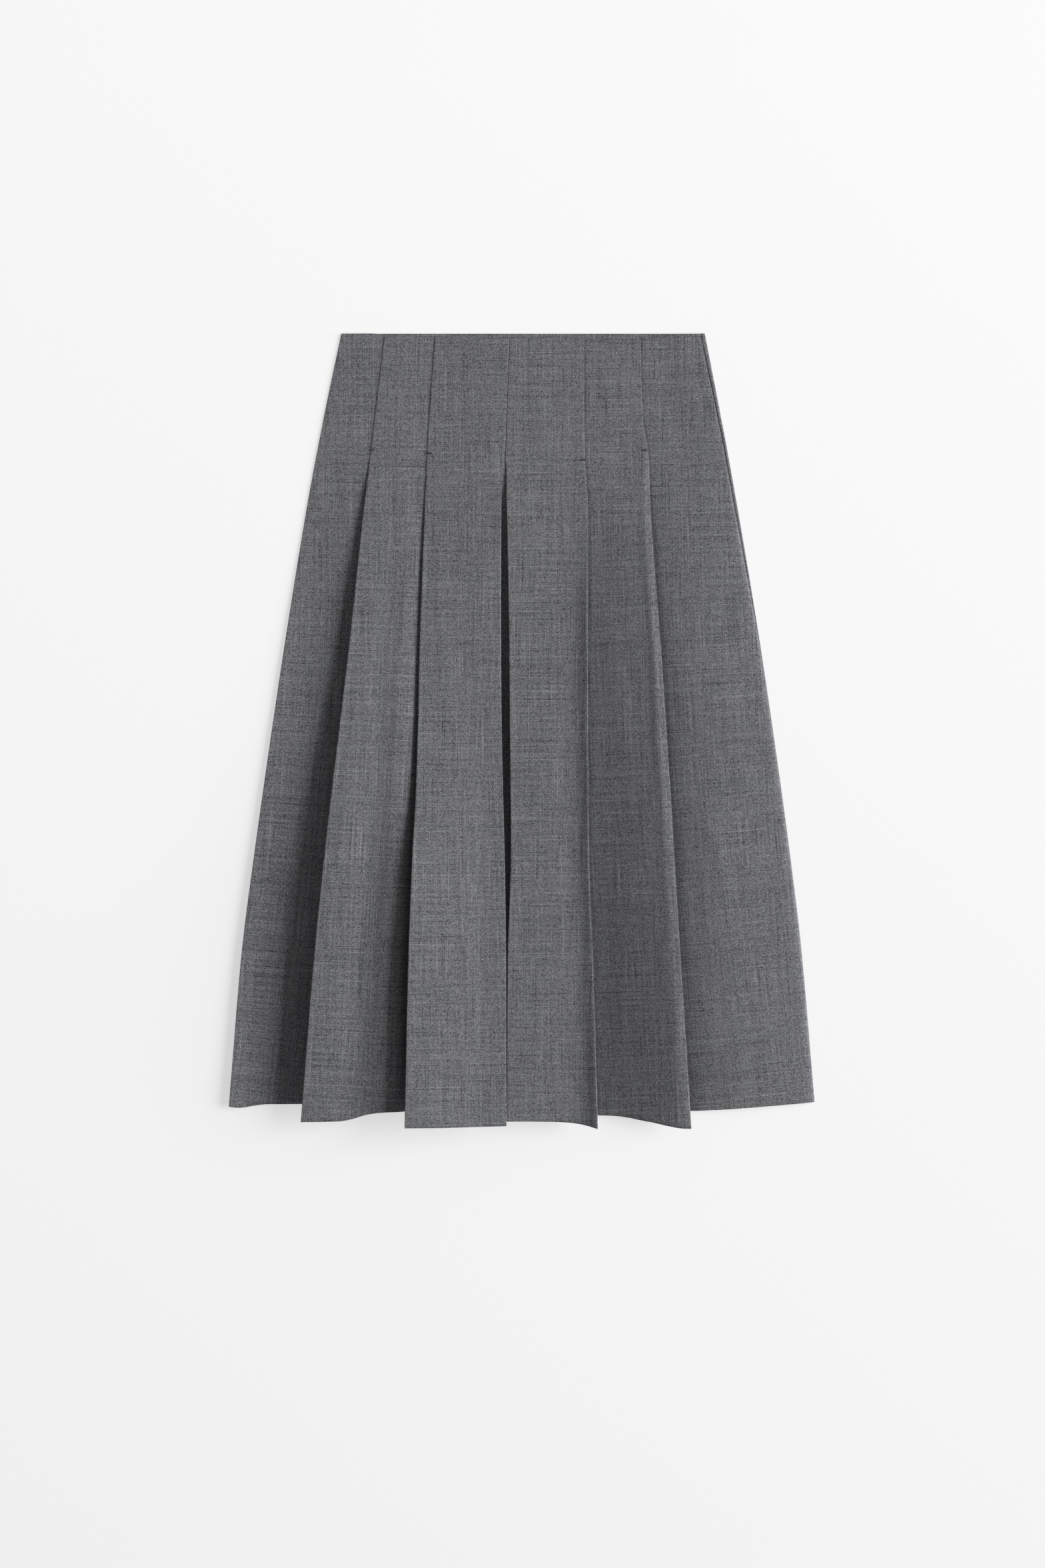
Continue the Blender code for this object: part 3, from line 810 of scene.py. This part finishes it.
# Soft ripples in each face: share across, distance down, half width, half length, height in mm,
# and lean in degrees
RIPPLES = {
    "side_gore_left": (
        (0.6, 210, 9, 70, 0.35, 12),
        (0.35, 420, 12, 90, 0.5, 8),
        (0.7, 600, 10, 60, 0.3, -6),
    ),
    "pleat_gore_left": (
        (0.3, 170, 8, 50, 0.3, -8),
        (0.6, 330, 10, 80, 0.4, 6),
        (0.35, 560, 12, 70, 0.4, 4),
    ),
    "middle_gore_left": (
        (0.7, 90, 9, 40, 0.35, 10),
        (0.3, 300, 10, 90, 0.4, -5),
        (0.6, 600, 12, 80, 0.4, 3),
    ),
    "middle_gore_right": (
        (0.4, 75, 8, 45, 0.5, 4),
        (0.75, 120, 7, 35, -0.3, -6),
        (0.5, 420, 12, 90, 0.4, 2),
    ),
    "pleat_gore_right": (
        (0.5, 90, 8, 40, 0.3, 5),
        (0.4, 350, 9, 70, 0.4, -7),
        (0.3, 620, 10, 60, 0.4, 5),
        (0.93, 320, 6, 190, 1.25, 0),
    ),
    "side_gore_right": (
        (0.3, 120, 9, 60, 0.4, -10),
        (0.6, 330, 12, 80, 0.5, -6),
        (0.4, 560, 14, 80, 0.6, -4),
    ),
}
RIPPLE_FADE = 0.1
FACE_STEP = 2.5 * MM
TURN_STEPS = 7
RETURN_STEPS = 12
# Closer columns at the front's two side edges, as shares across
LEFT_EDGE_SHARES = (0, 0.004, 0.01, 0.02)
RIGHT_EDGE_SHARES = (0.98, 0.99, 0.996, 1.0)
# The cloth stands up a little along a pressed fold that faces left, in full from this lift on
PRESSED_EDGE = 0.42 * MM
PRESSED_WIDTH = 2.8 * MM
PRESSED_LIFT = 4 * MM
# Right of a fold that faces right, the next gore starts in a shallow dip, which widens where the
# pleats are released
FOOT_DIP = 0.6 * MM
FOOT_WIDTH = 5 * MM
SEWN_WIDTH = 1.8 * MM
FOOT_FROM = 110 * MM
FOOT_FADE = 60 * MM
# Down its left seam the front stands up off the back and turns in under itself
SEAM_TUCK = 2.2 * MM
SEAM_DROP = 0.45 * MM
SEAM_STEPS = 6
TUCK_SPEED = 1.4
# Down its right seam the front dips to the back's roll
RIGHT_DROP = 0.55 * MM
RIGHT_DROP_WIDTH = 2 * MM


def ripple_height(gore, shares, width, levels):
    """The soft troughs and ridges of a gore's face, which fade out at its lines."""
    height = np.zeros(np.broadcast_shapes(shares.shape, levels.shape))
    for share, down, half_width, half_length, rise, lean in RIPPLES[gore]:
        over = (shares - share) * width
        along = levels - down * MM
        turn = math.radians(lean)
        far_across = (over * math.cos(turn) + along * math.sin(turn)) / (half_width * MM)
        far_along = (along * math.cos(turn) - over * math.sin(turn)) / (half_length * MM)
        height = height + rise * MM * np.exp(-far_across**2 - far_along**2)
    return height * soft_step(shares / RIPPLE_FADE) * soft_step((1 - shares) / RIPPLE_FADE)


def gore_grid(gore):
    """All of a gore: an underlay or a return past each pleat line, its folds and its face."""
    (left, right, _, lean, cut_from), rows = GORES[gore]
    levels = front_levels
    start = line_at(left, levels)
    end = seam_at(levels) if right == "side_right" else line_at(right, levels)
    layer = layer_at(levels)
    fold_radius = layer / 2
    fold_room = CLOTH / 2 + fold_radius
    if rows[0][1]:
        start = start + fold_room
    if rows[-1][1]:
        end = end - fold_room
    table = np.array(rows)
    columns = int(round(float((end - start).max()) / FACE_STEP)) + 1
    shares = np.linspace(0, 1, columns)[None, :]
    if left == "side_left":
        shares = np.hstack(([LEFT_EDGE_SHARES], shares[:, 1:]))
    if right == "side_right":
        shares = np.hstack((shares[:, :-1], [RIGHT_EDGE_SHARES]))
    layers, left_share, right_share, hem = (through(table[:, 0], table[:, k], shares) for k in (1, 2, 3, 4))
    x = start + (end - start) * shares
    z = rest_height(x, levels) + layers * layer
    z = z + left_share * lift_at(left, levels) + right_share * lift_at(right, levels)
    z = z + ripple_height(gore, shares, end - start, levels)
    z = z + np.interp(levels, [row[0] * MM for row in WAIST_ROLL], [row[1] * MM for row in WAIST_ROLL])
    if rows[0][1]:
        pressed = np.minimum(lift_at(left, levels) / PRESSED_LIFT, 1) * PRESSED_EDGE
        z = z + pressed * fade_out(x - start, 0, PRESSED_WIDTH)
    if left in OUTER_FOLDS and not rows[0][1]:
        foot_width = SEWN_WIDTH + (FOOT_WIDTH - SEWN_WIDTH) * soft_step((levels - FOOT_FROM) / FOOT_FADE)
        z = z - FOOT_DIP * np.clip(1 - (x - start) / foot_width, 0, 1) ** 2
    if right == "side_right":
        z = z - RIGHT_DROP * fade_out(end - x, 0, RIGHT_DROP_WIDTH)
    down = down_at(x, levels, hem)
    for line, side in ((left, -1), (right, 1)):
        if line not in OUTER_FOLDS:
            continue
        edge = 0 if side < 0 else -1
        inner = inner_fold(line, levels)
        edge_x, edge_z, edge_down = x[:, [edge]], z[:, [edge]], down[:, [edge]]
        part = np.linspace(0, 1, RETURN_STEPS + 1)[None, 1:]
        more_x = edge_x + (inner - edge_x) * part
        if rows[edge][1]:
            turn = np.linspace(0, math.pi, TURN_STEPS + 1)[None, 1:]
            turn_x = edge_x + side * fold_radius * np.sin(turn)
            turn_z = edge_z + fold_radius * (np.cos(turn) - 1)
            back_z = turn_z[:, -1:] + (rest_height(inner, levels) + layer - turn_z[:, -1:]) * part
            back_down = edge_down + (down_at(inner, levels, OUTER_FOLDS[line][3]) - edge_down) * part
            more_x = np.hstack((turn_x, more_x))
            more_z = np.hstack((turn_z, back_z))
            more_down = np.hstack((np.broadcast_to(edge_down, turn_x.shape), back_down))
        else:
            foot = edge_z - rest_height(edge_x, levels)
            more_z = rest_height(more_x, levels) + foot * (1 - soft_step(part))
            more_down = down_at(more_x, levels, rows[edge][4])
        if side < 0:
            x = np.hstack((more_x[:, ::-1], x))
            z = np.hstack((more_z[:, ::-1], z))
            down = np.hstack((more_down[:, ::-1], down))
        else:
            x = np.hstack((x, more_x))
            z = np.hstack((z, more_z))
            down = np.hstack((down, more_down))
    if left == "side_left":
        part = np.linspace(1, 0, SEAM_STEPS + 1)[None, :-1]
        x = np.hstack((x[:, :1] + SEAM_TUCK * soft_step(part * TUCK_SPEED), x))
        z = np.hstack((z[:, :1] + (rest_height(start, levels) - SEAM_DROP - z[:, :1]) * part, z))
        down = np.hstack((np.broadcast_to(down[:, :1], (len(levels), SEAM_STEPS)), down))
    points = np.stack((x, WAIST_Y - down, z), axis=2)
    return points, grain_of(points, down, levels, lean, x.shape[1] // 2, cut_from)


for gore, ((left, right, replaced, _, _), _) in GORES.items():
    gore_points, gore_grain = gore_grid(gore)
    gore_cloth = make_cloth(gore, gore_points, gore_grain, replaced)

# The bar tacks.
# Short dense bars of dark thread across the ends of the sewn folds, where the pleats are released.

# Each tack: its left end in mm right of the middle, its distance down and its length, and how many
# layers of cloth it lies on
TACKS = (
    (-150.5, 115.0, 4.2, 2),
    (-95.5, 118.3, 6.0, 2),
    (57.0, 124.8, 5.6, 2),
    (117.5, 115.3, 5.6, 2),
)
TACK_THREAD = (0.05, 0.05, 0.056, 1.0)
TACK_RISE = 0.2 * MM
TACK_POINTS = 5
TACK_SIZES = {
    "Pitch": 0.3 * MM,
    "Loop Rise": 0.2 * MM,
    "Loop Reach": 0.6 * MM,
    "Thread Radius": 0.14 * MM,
}

tack_finish, _ = new_material("tack_thread", TACK_THREAD, roughness=0.6)
tack_paths = []
for from_middle, down, tack_length, layers in TACKS:
    start_x = MIDDLE_X + from_middle * MM
    tack_y = WAIST_Y - down * MM
    tack_z = ON_BACK + layers * layer_at(down * MM) + CLOTH / 2 + TACK_RISE
    alongs = [tack_length * MM * k / (TACK_POINTS - 1) for k in range(TACK_POINTS)]
    tack_paths.append([(start_x + along, tack_y, tack_z) for along in alongs])
bar_tacks = set_loops("bar_tacks", tack_paths, TACK_SIZES, tack_finish)

# The studio.
# One large soft light low on the right, a white room round it, and a camera straight over the
# skirt.

CAMERA_HEIGHT = 3.0
CAMERA_LENS = 69.6
CAMERA_SENSOR = 36.0
CAMERA_REACH = 50.0
PHOTO_MIDDLE = (0.0007, -0.0541)
LIGHT_FROM = (1.0, 0.07, 0.5)
LIGHT_DISTANCE = 16.0
LIGHT_SIZE = 11.6
LIGHT_POWER = 4230
ROOM_WHITE = 0.25

studio = bpy.context.scene
room = bpy.data.worlds.new("white_room")
room.use_nodes = True
room.node_tree.nodes["Background"].inputs["Color"].default_value = (1.0, 1.0, 1.0, 1.0)
room.node_tree.nodes["Background"].inputs["Strength"].default_value = ROOM_WHITE
studio.world = room

direction = np.array(LIGHT_FROM) / np.linalg.norm(LIGHT_FROM)
softbox_data = bpy.data.lights.new("softbox", "AREA")
softbox_data.shape = "SQUARE"
softbox_data.size = LIGHT_SIZE
softbox_data.energy = LIGHT_POWER
softbox = bpy.data.objects.new("softbox", softbox_data)
softbox.location = tuple(direction * LIGHT_DISTANCE)
softbox.rotation_euler = (
    0.0,
    math.acos(direction[2]),
    math.atan2(direction[1], direction[0]),
)
studio.collection.objects.link(softbox)

camera_data = bpy.data.cameras.new("overhead_camera")
camera_data.lens = CAMERA_LENS
camera_data.sensor_width = CAMERA_SENSOR
camera_data.clip_end = CAMERA_REACH
overhead_camera = bpy.data.objects.new("overhead_camera", camera_data)
overhead_camera.location = (*PHOTO_MIDDLE, CAMERA_HEIGHT)
studio.collection.objects.link(overhead_camera)
studio.camera = overhead_camera
studio.view_settings.view_transform = "Standard"
